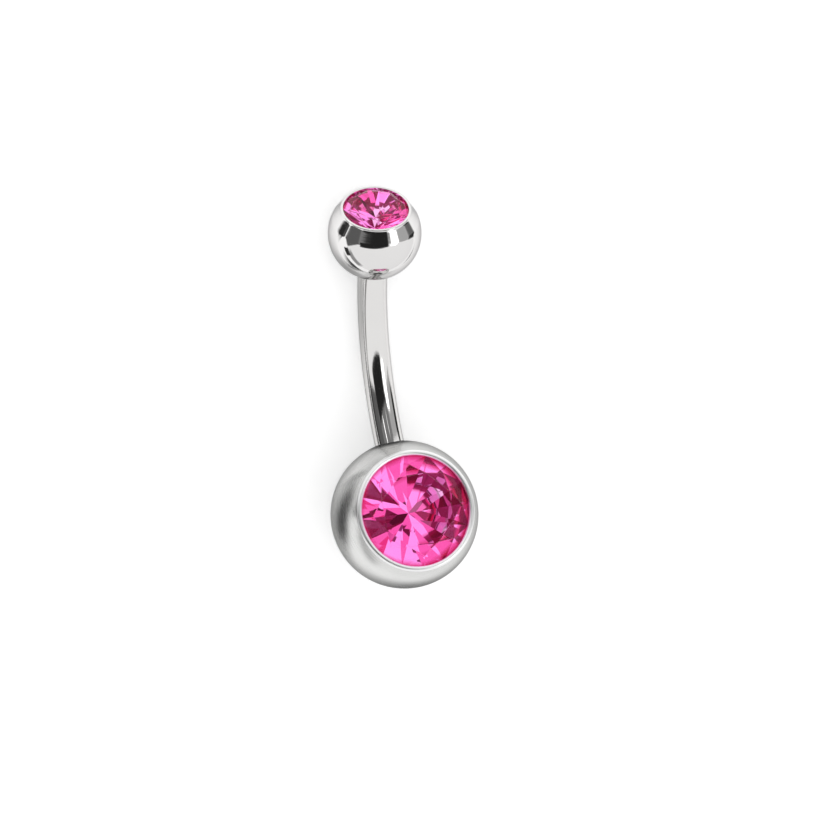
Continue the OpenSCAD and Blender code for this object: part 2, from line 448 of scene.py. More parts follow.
class Bench:
    """Moves of edit mode, in millimetres until a piece is placed."""

    WELD: ClassVar[float] = 1e-4
    KNIFE: ClassVar[float] = 1e-5
    CREASE: ClassVar[float] = math.radians(30)

    @staticmethod
    def clear() -> None:
        """Leaves edit mode and deselects every object."""
        if bpy.context.object and bpy.context.object.mode != "OBJECT":
            bpy.ops.object.mode_set(mode="OBJECT")
        bpy.ops.object.select_all(action="DESELECT")

    @staticmethod
    def take(piece: bpy.types.Object) -> None:
        """Selects one object and makes it active.

        Args:
            piece: The object.
        """
        Bench.clear()
        piece.select_set(True)
        bpy.context.view_layer.objects.active = piece

    @staticmethod
    def named(name: str) -> bpy.types.Object:
        """Names the object just added.

        Args:
            name: The name of the object and of its mesh.

        Returns:
            The object.
        """
        piece = bpy.context.object
        piece.name = name
        piece.data.name = name
        return piece

    @staticmethod
    def outline(name: str, points: Sequence[Point]) -> bpy.types.Object:
        """Draws an open outline in the XZ plane by extruding one point along it.

        Args:
            name: The piece's name.
            points: Distance from the axis and height of each point.

        Returns:
            The object, in edit mode with all of it selected.
        """
        Bench.clear()
        radius, height = points[0]
        bpy.ops.mesh.primitive_plane_add(location=(0, 0, 0))
        piece = Bench.named(name)
        bpy.ops.object.mode_set(mode="EDIT")
        bpy.ops.mesh.select_all(action="SELECT")
        bpy.ops.mesh.merge(type="CENTER")
        bpy.ops.transform.translate(value=(radius, 0, height))
        for before, after in zip(points, points[1:]):
            step = (after[0] - before[0], 0, after[1] - before[1])
            bpy.ops.mesh.extrude_region_move(TRANSFORM_OT_translate={"value": step})
        bpy.ops.mesh.select_all(action="SELECT")
        return piece

    @staticmethod
    def turn(name: str, points: Sequence[Point], steps: int) -> bpy.types.Object:
        """Turns an outline into a closed round piece about Z.

        Args:
            name: The piece's name.
            points: Distance from the axis and height of each point, both ends on the axis.
            steps: Steps of the whole turn.

        Returns:
            The object.
        """
        piece = Bench.outline(name, points)
        bpy.ops.mesh.spin(
            steps=steps, angle=math.tau, center=(0, 0, 0), axis=(0, 0, 1), use_auto_merge=True
        )
        bpy.ops.mesh.select_all(action="SELECT")
        bpy.ops.mesh.remove_doubles(threshold=Bench.WELD)
        Bench.close()
        return piece

    @staticmethod
    def close() -> None:
        """Turns every face of a closed piece outwards and leaves edit mode."""
        bpy.ops.mesh.select_all(action="SELECT")
        bpy.ops.mesh.normals_make_consistent(inside=False)
        Bench.clear()

    @staticmethod
    def combine(piece: bpy.types.Object, tool: bpy.types.Object, operation: str) -> None:
        """Joins, cuts or crosses a piece with another, which is used up.

        Args:
            piece: The piece that stays.
            tool: The piece that is used up.
            operation: UNION, DIFFERENCE or INTERSECT.
        """
        Bench.take(piece)
        bpy.ops.object.modifier_add(type="BOOLEAN")
        step = piece.modifiers[-1]
        step.operation = operation
        step.solver = "EXACT"
        step.object = tool
        bpy.ops.object.modifier_apply(modifier=step.name)
        bpy.data.objects.remove(tool)

    @staticmethod
    def place(piece: bpy.types.Object, where: Matrix) -> None:
        """Puts a piece's place and its size in metres into its mesh.

        Args:
            piece: The piece, modelled in millimetres.
            where: Its own axes in the row frame, in millimetres.
        """
        Bench.take(piece)
        piece.matrix_world = Matrix.Scale(MM, 4) @ where
        bpy.context.view_layer.update()
        bpy.ops.object.transform_apply(location=True, rotation=True, scale=True)

    @staticmethod
    def smooth(piece: bpy.types.Object) -> None:
        """Shades a piece smooth, apart from its sharp edges."""
        Bench.take(piece)
        bpy.ops.object.shade_smooth_by_angle(angle=Bench.CREASE)

    @staticmethod
    def dress(piece: bpy.types.Object, finishes: Sequence[Finish]) -> None:
        """Gives a piece its materials and no others.

        Args:
            piece: The piece.
            finishes: A finish for each material, in order.
        """
        piece.data.materials.clear()
        for finish in finishes:
            piece.data.materials.append(finish.material())

    @staticmethod
    def arc(centre: Point, radius: float, start: float, end: float, steps: int) -> list[Point]:
        """Points on an arc, both ends included.

        Args:
            centre: The arc's centre.
            radius: Its radius.
            start: Direction of its first point, in degrees from the outward direction.
            end: Direction of its last point.
            steps: Steps along it.

        Returns:
            The points.
        """
        turns = (math.radians(start + (end - start) * k / steps) for k in range(steps + 1))
        return [
            (centre[0] + radius * math.cos(turn), centre[1] + radius * math.sin(turn))
            for turn in turns
        ]


@dataclass(frozen=True)
class Lay:
    """How the piece lies, from the sizes of its solids, in millimetres and degrees."""

    bar_r: float = 0.8
    bar_length: float = 10.0
    bend: float = 46.0
    lower_r: float = 4.0
    upper_r: float = 2.5
    seat_gap: float = 0.01
    lower_x: float = -6.988

    @property
    def half(self) -> float:
        """Half of the bend, in radians."""
        return math.radians(self.bend / 2)

    @property
    def bow_r(self) -> float:
        """Radius of the bar's centre line."""
        return self.bar_length / 2 / math.sin(self.half)

    @property
    def end_z(self) -> float:
        """Height of the bar's ends over the middle of its bow."""
        return self.bow_r * (1 - math.cos(self.half))

    @property
    def lower_seat(self) -> float:
        """Distance from the lower ball's centre to the flat that the bar meets."""
        return math.sqrt(self.lower_r**2 - self.bar_r**2)

    @property
    def upper_seat(self) -> float:
        """Distance from the upper ball's centre to the flat that the bar meets."""
        return math.sqrt(self.upper_r**2 - self.bar_r**2)

    def _centre(self, side: int, seat: float) -> Vector:
        """Centre of the ball on one side.

        Args:
            side: -1 for the lower ball, 1 for the upper one.
            seat: Distance from the ball's centre to the flat that the bar meets.

        Returns:
            The centre, in the bar's own frame.
        """
        run = seat + self.seat_gap
        along = side * (self.bar_length / 2 + run * math.cos(self.half))
        return Vector((along, 0, self.end_z + run * math.sin(self.half)))

    def bar(self) -> Matrix:
        """The bar's own axes: the middle of its bow at the origin, its chord along X.

        Returns:
            The axes in the row frame, in millimetres.
        """
        lower = self._centre(-1, self.lower_seat)
        upper = self._centre(1, self.upper_seat)
        line = upper - lower
        slope = math.asin((self.lower_r - self.upper_r) / line.length)
        turn = slope + math.atan2(line.z, line.x)
        return (
            Matrix.Translation((self.lower_x, 0, self.lower_r))
            @ Matrix.Rotation(turn, 4, "Y")
            @ Matrix.Translation(-lower)
        )

    def lower_ball(self) -> Matrix:
        """The lower ball's axes: Z through its stone, X towards the bar."""
        centre = Matrix.Translation(self._centre(-1, self.lower_seat))
        return self.bar() @ centre @ Matrix.Rotation(self.half, 4, "Y")

    def upper_ball(self) -> Matrix:
        """The upper ball's axes: Z through its stone, away from the bar."""
        centre = Matrix.Translation(self._centre(1, self.upper_seat))
        return self.bar() @ centre @ Matrix.Rotation(math.pi / 2 - self.half, 4, "Y")


@dataclass(frozen=True)
class Cut:
    """The cut of both stones, its angles in radians.

    The table is a share of the girdle's radius. The stars take a share of the way from the
    table to the girdle, and the lower halves take one of the way from the girdle to the point.
    """

    folds: int = 8
    table: float = 0.66
    crown: float = math.radians(32)
    pavilion: float = math.radians(39)
    star: float = 0.5
    lower_half: float = 0.78
    flat: float = math.radians(0.2)
    steep: float = 0.05
    main_width: float = 0.25
    spare: float = 0.1


@dataclass
class Stone:
    """A round brilliant cut stone, ground facet by facet, in millimetres and degrees.

    The main and the half facets of its back take their shades from a letter each, round
    the stone: r is rose, c crimson and p plum. Crimson and plum are painted shade and
    reflection on the backing.
    """

    OUT: ClassVar[str] = "share_of_radius"
    SHADES: ClassVar[dict[str, Shade]] = {"r": Shade.ROSE, "c": Shade.CRIMSON, "p": Shade.PLUM}

    name: str
    width: float
    girdle: float
    turn: float
    mains: str
    halves: str
    cut: Cut = field(default_factory=Cut)
    worn: float = 0.025

    @property
    def radius(self) -> float:
        """Radius of the girdle."""
        return self.width / 2

    @property
    def table_height(self) -> float:
        """Height of the table over the girdle's lower edge."""
        return self.girdle + self.radius * (1 - self.cut.table) * math.tan(self.cut.crown)

    def corner(self, radius: float, height: float, half_folds: float) -> Vector:
        """Corner of the cut, by its radius, height and direction in half folds."""
        turn = math.pi * half_folds / self.cut.folds
        return Vector((radius * math.cos(turn), radius * math.sin(turn), height))

    def facets(self) -> list[tuple[Vector, Vector, Vector]]:
        """Three corners of every facet, the table left out.

        Returns:
            The corners.
        """
        cut, radius = self.cut, self.radius
        shrink = math.cos(math.pi / cut.folds)
        table_r = radius * cut.table
        star_r = table_r * shrink + cut.star * (radius - table_r * shrink)
        star_h = self.girdle + (radius - star_r * shrink) * math.tan(cut.crown)
        low_r = radius * (1 - cut.lower_half)
        culet_h = -radius * math.tan(cut.pavilion)
        low_h = culet_h + low_r * shrink * math.tan(cut.pavilion)
        found = []
        for fold in range(cut.folds):
            main, half = 2 * fold, 2 * fold + 1
            table = self.corner(table_r, self.table_height, main)
            next_table = self.corner(table_r, self.table_height, main + 2)
            star = self.corner(star_r, star_h, half)
            low = self.corner(low_r, low_h, half)
            rim = [self.corner(radius, self.girdle, main + k) for k in range(3)]
            base = [self.corner(radius, 0, main + k) for k in range(3)]
            last_star = self.corner(star_r, star_h, half - 2)
            last_low = self.corner(low_r, low_h, half - 2)
            found += [
                (table, rim[0], last_star),
                (table, next_table, star),
                (star, rim[1], rim[0]),
                (star, rim[2], rim[1]),
                (low, base[0], base[1]),
                (low, base[1], base[2]),
                (low, base[0], last_low),
            ]
        return found

    def shade(self, face: bpy.types.MeshPolygon) -> int:
        """Material of a facet: glass over the girdle, and below it the shade painted on the
        backing.

        Args:
            face: The facet.

        Returns:
            Its material's number.
        """
        if face.normal.z > self.cut.steep:
            return 0
        # the girdle takes the crimson painted shade, a dark band round the rim
        if face.normal.z > -self.cut.steep:
            return Shade.CRIMSON.value
        step = math.pi / self.cut.folds
        turn = math.atan2(face.center.y, face.center.x) % math.tau
        along = turn / step
        near = round(along)
        if near % 2 == 0 and abs(along - near) < self.cut.main_width:
            return self.SHADES[self.mains[near // 2 % self.cut.folds]].value
        return self.SHADES[self.halves[int(along) % (2 * self.cut.folds)]].value

    def wear(self, piece: bpy.types.Object, material: int) -> None:
        """Takes the sharpness off the edges between the facets over the girdle.

        Args:
            piece: The stone.
            material: Number of the worn edges' material.
        """
        bpy.ops.object.mode_set(mode="EDIT")
        bpy.ops.mesh.select_all(action="DESELECT")
        Bench.clear()
        for edge in piece.data.edges:
            ends = [piece.data.vertices[k].co for k in edge.vertices]
            edge.select = min(end.z for end in ends) > self.girdle + self.worn
        Bench.take(piece)
        bpy.ops.object.mode_set(mode="EDIT")
        bpy.ops.mesh.select_mode(type="EDGE")
        bpy.ops.mesh.bevel(offset=self.worn, segments=1, affect="EDGES", material=material)
        bpy.ops.mesh.select_mode(type="VERT")
        Bench.clear()

    def build(self, crystal: Finish, foils: Sequence[Finish], worn: Finish) -> bpy.types.Object:
        """Grinds the stone from a 16-sided blank and dresses it.

        Args:
            crystal: Finish of the facets over the girdle.
            foils: Finishes of the rest, one for each shade.
            worn: Finish of the worn edges.

        Returns:
            The stone, its girdle's lower edge at height 0.
        """
        deep = self.radius * math.tan(self.cut.pavilion) + self.cut.spare
        tall = self.table_height
        Bench.clear()
        bpy.ops.mesh.primitive_cylinder_add(
            vertices=2 * self.cut.folds,
            radius=self.radius,
            depth=tall + deep,
            location=(0, 0, (tall - deep) / 2),
        )
        piece = Bench.named(self.name)
        bpy.ops.object.transform_apply(location=True, rotation=True, scale=True)
        bpy.ops.object.mode_set(mode="EDIT")
        for first, second, third in self.facets():
            bpy.ops.mesh.select_all(action="SELECT")
            normal = (second - first).cross(third - first).normalized()
            if normal.dot(first) < 0:
                normal = -normal
            bpy.ops.mesh.bisect(
                plane_co=first,
                plane_no=normal,
                use_fill=True,
                clear_outer=True,
                threshold=Bench.KNIFE,
            )
        bpy.ops.mesh.select_all(action="SELECT")
        bpy.ops.mesh.remove_doubles(threshold=Bench.WELD)
        bpy.ops.mesh.dissolve_limited(angle_limit=self.cut.flat)
        Bench.close()
        Bench.dress(piece, (crystal, *foils, worn))
        for face in piece.data.polygons:
            face.material_index = self.shade(face)
        Bench.take(piece)
        self.wear(piece, len(piece.data.materials) - 1)
        out = piece.data.attributes.new(self.OUT, "FLOAT", "POINT")
        for vertex in piece.data.vertices:
            out.data[vertex.index].value = vertex.co.xy.length / self.radius
        piece.data.transform(Matrix.Rotation(math.radians(self.turn), 4, "Z"))
        return piece


@dataclass
class JewelBall:
    """A steel ball with a rounded lip round its stone, its lengths in millimetres.

    The lip reaches over the stone by the overlap, and a turned cone can lead up to it. Stand
    and cover are shares of the lip's radius: how far its centre stands outside the window,
    and how far the window's wall reaches over and under that centre.
    """

    name: str
    radius: float
    stone: Stone
    overlap: float
    lip_r: float
    cone: float = 0.0
    stand: float = 0.8
    cover: float = 0.6
    stone_gap: float = 0.02
    culet_gap: float = 0.08
    steps: int = 192
    lip_steps: int = 20
    cone_steps: int = 8
    step_degrees: float = 1.5
    least_steps: int = 12
    lip_reach: float = 1.02

    @property
    def window(self) -> float:
        """Radius of the window in the lip."""
        return self.stone.radius - self.overlap

    @property
    def lip(self) -> Point:
        """Centre of the lip's round section."""
        out = self.window + self.stand * self.lip_r
        return out, math.sqrt(self.radius**2 - (out + self.lip_r) ** 2)

    @property
    def girdle_h(self) -> float:
        """Height of the stone's girdle over the ball's centre.

        Returns:
            The height of its lower edge.
        """
        slope = math.tan(self.stone.cut.crown)
        covered = self.cover * self.lip_r + self.stone_gap + self.overlap * slope
        return self.lip[1] - covered - self.stone.girdle

    def seat(self) -> list[Point]:
        """Outline from the window's lower edge along the seat to the axis.

        Returns:
            The points.
        """
        seat_r = self.stone.radius + self.stone_gap
        under = self.girdle_h + self.stone.girdle + self.stone_gap
        slope = math.tan(self.stone.cut.crown)
        apex = self.girdle_h - self.stone.radius * math.tan(self.stone.cut.pavilion)
        return [
            (self.window, under + self.overlap * slope),
            (seat_r, under),
            (seat_r, self.girdle_h - self.stone_gap),
            (0, apex - self.culet_gap),
        ]

    def outside(self, start: float) -> list[Point]:
        """Outline from the ball's underside over the lip to the window.

        Args:
            start: Direction of the first point on the ball, in degrees from the equator.

        Returns:
            The points.
        """
        lip_x, lip_h = self.lip
        inner = 180 - math.degrees(math.asin(self.cover))
        bead = Bench.arc(self.lip, self.lip_r, 0, inner, self.lip_steps)
        foot = lip_h - self.cone
        end = math.degrees(math.asin(foot / self.radius))
        steps = max(self.least_steps, round((end - start) / self.step_degrees))
        ball = Bench.arc((0, 0), self.radius, start, end, steps)
        if not self.cone:
            return ball[:-1] + bead
        foot_r = ball[-1][0]
        shares = (k / self.cone_steps for k in range(1, self.cone_steps))
        run = lip_x + self.lip_r - foot_r
        return ball + [(foot_r + run * share, foot + self.cone * share) for share in shares] + bead

    def build(
        self, under: Sequence[Point], start: float, steel: Finish, lip: Finish
    ) -> bpy.types.Object:
        """Turns the ball.

        Args:
            under: Outline under the ball, from the axis to its first point on the ball.
            start: Direction of that point, in degrees from the equator.
            steel: The ball's finish.
            lip: The lip's finish.

        Returns:
            The ball, its centre at the origin and its stone up.
        """
        points = [*under, *self.outside(start), *self.seat()]
        piece = Bench.turn(self.name, points, self.steps)
        Bench.dress(piece, (steel, lip))
        out, height = self.lip
        for face in piece.data.polygons:
            away = math.hypot(face.center.xy.length - out, face.center.z - height)
            face.material_index = int(away < self.lip_reach * self.lip_r)
        return piece


@dataclass
class BarSeat:
    """Bore in a ball and the flat round it that the bar's end meets, in millimetres.

    The seat is the distance from the ball's centre to the flat.
    """

    flat_r: float
    seat: float
    bore_r: float
    depth: float
    steps: int = 128

    def outline(self) -> list[Point]:
        """Outline from the bore's end on the axis to the flat's edge, the bar below."""
        floor = self.depth - self.seat
        return [(0, floor), (self.bore_r, floor), (self.bore_r, -self.seat)]

    def cutter(self, reach: float) -> bpy.types.Object:
        """Tool that cuts the bore and the flat in a ball's side, the bar coming from +Z.

        Args:
            reach: Height over the ball's centre that the tool stands to.

        Returns:
            The tool, wider than the flat over its seat.
        """
        floor, wide = self.seat - self.depth, 2 * self.flat_r
        bore = [(0, floor), (self.bore_r, floor), (self.bore_r, self.seat)]
        over = [(wide, self.seat), (wide, reach), (0, reach)]
        return Bench.turn("seat_tool", bore + over, self.steps)


@dataclass
class Bar:
    """The bent bar with its tenon and its thread, its lengths in millimetres.

    The tenon and the root of the thread reach into the bar by the root run, and the thread's
    crest is a share of its pitch.
    """

    lay: Lay
    tenon_d: float = 1.2
    tenon_length: float = 1.4
    thread_d: float = 1.4
    thread_depth: float = 0.18
    pitch: float = 0.32
    thread_length: float = 1.5
    tip: float = 0.12
    root_run: float = 0.3
    root_turns: float = 1.5
    crest: float = 0.16
    trim: float = 0.002
    sink: float = 0.02
    tenon_edge: float = 0.05
    sides: int = 96
    steps: int = 120
    thread_steps: int = 48
    tenon_steps: int = 64

    def tube(self) -> bpy.types.Object:
        """Bends the bar: a disc spun about the centre of its bow.

        Returns:
            The tube, the middle of its bow at the origin.
        """
        Bench.clear()
        lay = self.lay
        bpy.ops.mesh.primitive_circle_add(
            vertices=self.sides,
            radius=lay.bar_r,
            fill_type="NGON",
            location=(-lay.bar_length / 2, 0, lay.end_z),
            rotation=(0, math.pi / 2 + lay.half, 0),
        )
        piece = Bench.named("bar_polished")
        bpy.ops.object.transform_apply(location=True, rotation=True, scale=True)
        bpy.ops.object.mode_set(mode="EDIT")
        bpy.ops.mesh.select_all(action="SELECT")
        bpy.ops.mesh.spin(
            steps=self.steps, angle=2 * lay.half, center=(0, 0, lay.bow_r), axis=(0, 1, 0)
        )
        Bench.close()
        return piece

    def thread(self) -> bpy.types.Object:
        """Cuts the thread: a tooth's outline screwed up its axis, trimmed to a pointed blank.

        Returns:
            The thread, standing on the bar's end at height 0.
        """
        root_r = self.thread_d / 2 - self.thread_depth
        crest_r = self.thread_d / 2
        flat = self.crest * self.pitch / 2
        tooth = [
            (root_r, 0),
            (crest_r, self.pitch / 2 - flat),
            (crest_r, self.pitch / 2 + flat),
            (root_r, self.pitch),
        ]
        bottom = -self.root_run - self.root_turns * self.pitch
        turns = math.ceil((self.thread_length - bottom) / self.pitch) + 1
        piece = Bench.outline("thread", [(x, z + bottom) for x, z in tooth])
        Bench.clear()
        Bench.take(piece)
        bpy.ops.object.modifier_add(type="SCREW")
        screw = piece.modifiers[-1]
        screw.screw_offset = self.pitch
        screw.iterations = turns
        screw.steps = screw.render_steps = self.thread_steps
        screw.use_merge_vertices = True
        screw.merge_threshold = Bench.WELD
        bpy.ops.object.modifier_apply(modifier=screw.name)
        bpy.ops.object.mode_set(mode="EDIT")
        bpy.ops.mesh.select_all(action="SELECT")
        bpy.ops.mesh.remove_doubles(threshold=Bench.WELD)
        for height, above in ((-self.root_run, False), (self.thread_length, True)):
            bpy.ops.mesh.select_all(action="SELECT")
            bpy.ops.mesh.bisect(
                plane_co=(0, 0, height),
                plane_no=(0, 0, 1 if above else -1),
                use_fill=True,
                clear_outer=True,
            )
        Bench.close()
        blank = Bench.turn(
            "thread_blank",
            [
                (0, self.sink - self.root_run),
                (self.thread_d, self.sink - self.root_run),
                (self.thread_d, self.thread_length - self.tip - crest_r),
                (root_r - self.tip, self.thread_length - self.trim),
                (0, self.thread_length - self.trim),
            ],
            self.sides,
        )
        Bench.combine(piece, blank, "INTERSECT")
        return piece

    def tenon(self) -> bpy.types.Object:
        """Turns the tenon that the lower ball hides.

        Returns:
            The tenon, hanging from the bar's end at height 0.
        """
        radius, end = self.tenon_d / 2, -self.tenon_length
        tip = [(0, end), (radius - self.tenon_edge, end), (radius, end + self.tenon_edge)]
        foot = [(radius, self.root_run), (0, self.root_run)]
        return Bench.turn("tenon", tip + foot, self.tenon_steps)

    def build(self, steel: Finish) -> bpy.types.Object:
        """Makes the bar in one piece and places it.

        Args:
            steel: The bar's finish.

        Returns:
            The bar.
        """
        lay = self.lay
        bar = self.tube()
        ends = (
            (self.tenon(), -1, math.pi / 2 + lay.half),
            (self.thread(), 1, math.pi / 2 - lay.half),
        )
        for part, side, turn in ends:
            place = Matrix.Translation((side * lay.bar_length / 2, 0, lay.end_z))
            part.data.transform(place @ Matrix.Rotation(turn, 4, "Y"))
            Bench.combine(bar, part, "UNION")
        Bench.dress(bar, (steel,))
        Bench.place(bar, lay.bar())
        Bench.smooth(bar)
        return bar


@dataclass
class NavelRing:
    """The whole piece, its lengths in millimetres and its angles in degrees."""

    lay: Lay = field(default_factory=Lay)
    lower_start: float = -88.5
    tool_spare: float = 1.0

    def finishes(self) -> dict[str, Finish]:
        """The finishes, by their plain names.

        Returns:
            The finishes.
        """
        lower, upper = self.lay.lower_ball(), self.lay.upper_ball()
        return {
            "bar": Steel("bar_steel", (0.80, 0.79, 0.78), gloss=0.07, spread=0.03, marks=0.03),
            "upper": Steel(
                "upper_ball_steel",
                (0.80, 0.79, 0.785),
                gloss=0.06,
                spread=0.03,
                marks=0.03,
                centre=upper.translation * MM,
                axes=upper,
                turned=1.0,
                # painted shade round the bar's end, which also dims the reflection there
                joint=Vector((0, 0, -1)),
                joint_r=(0.85, 2.0),
                joint_shade=0.6,
            ),
            "lower": Steel(
                "lower_ball_steel",
                (0.77, 0.77, 0.76),
                gloss=0.26,
                spread=0.06,
                marks=0.08,
                centre=lower.translation * MM,
                axes=lower,
                turned=1.0,
                rim=0.4,
                # painted shade round the bar's end
                joint=Vector((1, 0, 0)),
            ),
            "lip": Steel(
                "lower_lip_steel", (0.95, 0.95, 0.95), gloss=0.3, spread=0.03, marks=0.03, rim=0.9
            ),
            "crystal": Crystal(
                "crystal_pink", tint=(1.0, 0.95, 0.99), sheen=(0.3, 0.12, 0.22), index=1.6
            ),
            "worn": Crystal(
                "crystal_worn", tint=(1.0, 0.80, 0.92), sheen=WHITE, index=1.5, rough=0.15
            ),
            Shade.ROSE.name: Foil("foil_rose", (1.0, 0.55, 0.92), painted_glow=(0.11, 0.008, 0.04)),
            # crimson and plum backings are painted shade and reflection on some facets
            Shade.CRIMSON.name: Foil("foil_crimson_painted_shade", (0.88, 0.17, 0.46)),
            Shade.PLUM.name: Foil("foil_plum_painted_shade", (0.18, 0.012, 0.06)),
        }

    def dress(self, piece: bpy.types.Object, node: str, body: Body, slot: Slot) -> None:
        """Hides the solid that a piece replaces, hangs the piece on its body and logs its size.

        Args:
            piece: The piece.
            node: The solid that it stands for.
            body: The body that it rides on.
            slot: Its material slot; not used.
        """
        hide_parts(node)
        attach(piece, body.value)
        corners = [Vector(corner) / MM for corner in piece.bound_box]
        low = [round(min(corner[k] for corner in corners), 3) for k in range(3)]
        high = [round(max(corner[k] for corner in corners), 3) for k in range(3)]
        faces = len(piece.data.polygons)
        LOG.info("%s: %d faces, %s to %s mm, on %s", piece.name, faces, low, high, body.value)

    def build(self) -> None:
        """Builds and dresses every piece."""
        looks = self.finishes()
        bar = Bar(self.lay).build(looks["bar"])
        self.dress(bar, "curved_bar", Body.BAR, Slot.POLISHED)
        self.build_lower(looks)
        self.build_upper(looks)

    def build_lower(self, looks: dict[str, Finish]) -> None:
        """Builds the large ball, with the bar's socket in its side, and its stone.

        Args:
            looks: The finishes.
        """
        lay = self.lay
        stone = Stone(
            "lower_crystal",
            width=6.2,
            girdle=0.12,
            turn=20,
            mains="rrpcrcrr",
            halves="rpcpcrrrcrrcrrcr",
        )
        setting = JewelBall("lower_ball_satin", lay.lower_r, stone, overlap=0.1, lip_r=0.16)
        under = [(0, -lay.lower_r)]
        ball = setting.build(under, self.lower_start, looks["lower"], looks["lip"])
        seat = BarSeat(lay.bar_r, lay.lower_seat, bore_r=0.62, depth=1.5)
        socket = seat.cutter(lay.lower_r + self.tool_spare)
        socket.data.transform(Matrix.Rotation(math.pi / 2, 4, "Y"))
        Bench.combine(ball, socket, "DIFFERENCE")
        gem = self.set_stone(ball, setting, lay.lower_ball(), looks)
        self.dress(ball, "lower_ball", Body.BAR, Slot.SATIN)
        self.dress(gem, "lower_stone", Body.BAR, Slot.CRYSTAL)

    def build_upper(self, looks: dict[str, Finish]) -> None:
        """Builds the small ball, with the bar's bore opposite its stone, and its stone.

        Args:
            looks: The finishes.
        """
        lay = self.lay
        stone = Stone(
            "upper_crystal",
            width=3.6,
            girdle=0.07,
            turn=20,
            mains="prrrrcrr",
            halves="crprrrrprrrcrrcc",
        )
        setting = JewelBall(
            "upper_ball_polished", lay.upper_r, stone, overlap=0.06, lip_r=0.09, cone=0.66
        )
        seat = BarSeat(lay.bar_r, lay.upper_seat, bore_r=0.72, depth=1.6)
        start = -math.degrees(math.acos(lay.bar_r / lay.upper_r))
        ball = setting.build(seat.outline(), start, looks["upper"], looks["upper"])
        gem = self.set_stone(ball, setting, lay.upper_ball(), looks)
        self.dress(ball, "upper_ball", Body.SCREW_BALL, Slot.POLISHED)
        self.dress(gem, "upper_stone", Body.SCREW_BALL, Slot.CRYSTAL)

    @staticmethod
    def set_stone(
        ball: bpy.types.Object, setting: JewelBall, where: Matrix, looks: dict[str, Finish]
    ) -> bpy.types.Object:
        """Cuts a ball's stone, sets it and places both.

        Args:
            ball: The ball.
            setting: The ball's sizes and its stone.
            where: The ball's axes in the row frame.
            looks: The finishes.

        Returns:
            The stone.
        """
        foils = [looks[shade.name] for shade in Shade]
        gem = setting.stone.build(looks["crystal"], foils, looks["worn"])
        gem.data.transform(Matrix.Translation((0, 0, setting.girdle_h)))
        Bench.place(ball, where)
        Bench.smooth(ball)
        Bench.place(gem, where)
        return gem


class Shown(enum.Enum):
    """What a board of the studio shows in."""

    STEEL = "steel"
    STONES = "stones"


@dataclass(frozen=True, kw_only=True)
class Board:
    """A board of the studio that only the piece shows, its lengths in millimetres."""

    name: str
    glow: float
    soft: float = 0.1
    shown: Shown = Shown.STEEL

    @staticmethod
    def scale(width: float, height: float) -> Matrix:
        """Scales a square of one metre to a width and a height in millimetres."""
        return Matrix.Diagonal((width * MM, height * MM, 1, 1))

    def place(self, camera: Matrix, aim: Vector) -> Matrix:
        """Where a square of one metre becomes the board."""
        raise NotImplementedError


@dataclass(frozen=True, kw_only=True)
class Facing(Board):
    """A board that faces the piece.

    Its spot is counted right, up and back of the piece, as the camera sees it, and its roll
    is in degrees.
    """

    spot: Colour
    size: Point
    roll: float = 0.0

    def place(self, camera: Matrix, aim: Vector) -> Matrix:
        """Turns the board to the piece, its Y leaning to the camera's up.

        Args:
            camera: The camera's axes.
            aim: The point that the camera looks at.

        Returns:
            The matrix that makes a square of one metre the board.
        """
        away = camera @ (Vector(self.spot) * MM)
        z_axis = -away.normalized()
        x_axis = (camera @ Vector((0, 1, 0))).cross(z_axis).normalized()
        turn = Matrix((x_axis, z_axis.cross(x_axis), z_axis)).transposed().to_4x4()
        size = self.scale(*self.size)
        roll = Matrix.Rotation(math.radians(self.roll), 4, "Z")
        return Matrix.Translation(aim + away) @ turn @ roll @ size


@dataclass(frozen=True, kw_only=True)
class Wall(Board):
    """A board that stands on the floor from one point to another."""

    start: Point
    end: Point
    high: float
    low: float = 0.0

    def place(self, camera: Matrix, aim: Vector) -> Matrix:
        """Stands the board up.

        Args:
            camera: The camera's axes.
            aim: The point that the camera looks at.

        Returns:
            The matrix that makes a square of one metre the board.
        """
        start, end = Vector(self.start) * MM, Vector(self.end) * MM
        along, middle = end - start, (start + end) / 2
        turn = Matrix.Rotation(math.atan2(along.y, along.x), 4, "Z")
        upright = Matrix.Rotation(math.pi / 2, 4, "X")
        size = self.scale(along.length / MM, self.high - self.low)
        lift = (self.high + self.low) / 2 * MM
        return Matrix.Translation((*middle, lift)) @ turn @ upright @ size


@dataclass(frozen=True, kw_only=True)
class Mat(Board):
    """A board that lies on the floor."""

    centre: Point
    size: Point
    turn: float = 0.0
    lift: float = 0.05

    def place(self, camera: Matrix, aim: Vector) -> Matrix:
        """Lays the board down.

        Args:
            camera: The camera's axes.
            aim: The point that the camera looks at.

        Returns:
            The matrix that makes a square of one metre the board.
        """
        size = self.scale(*self.size)
        turn = Matrix.Rotation(math.radians(self.turn), 4, "Z")
        spot = Vector((*self.centre, self.lift)) * MM
        return Matrix.Translation(spot) @ turn @ size


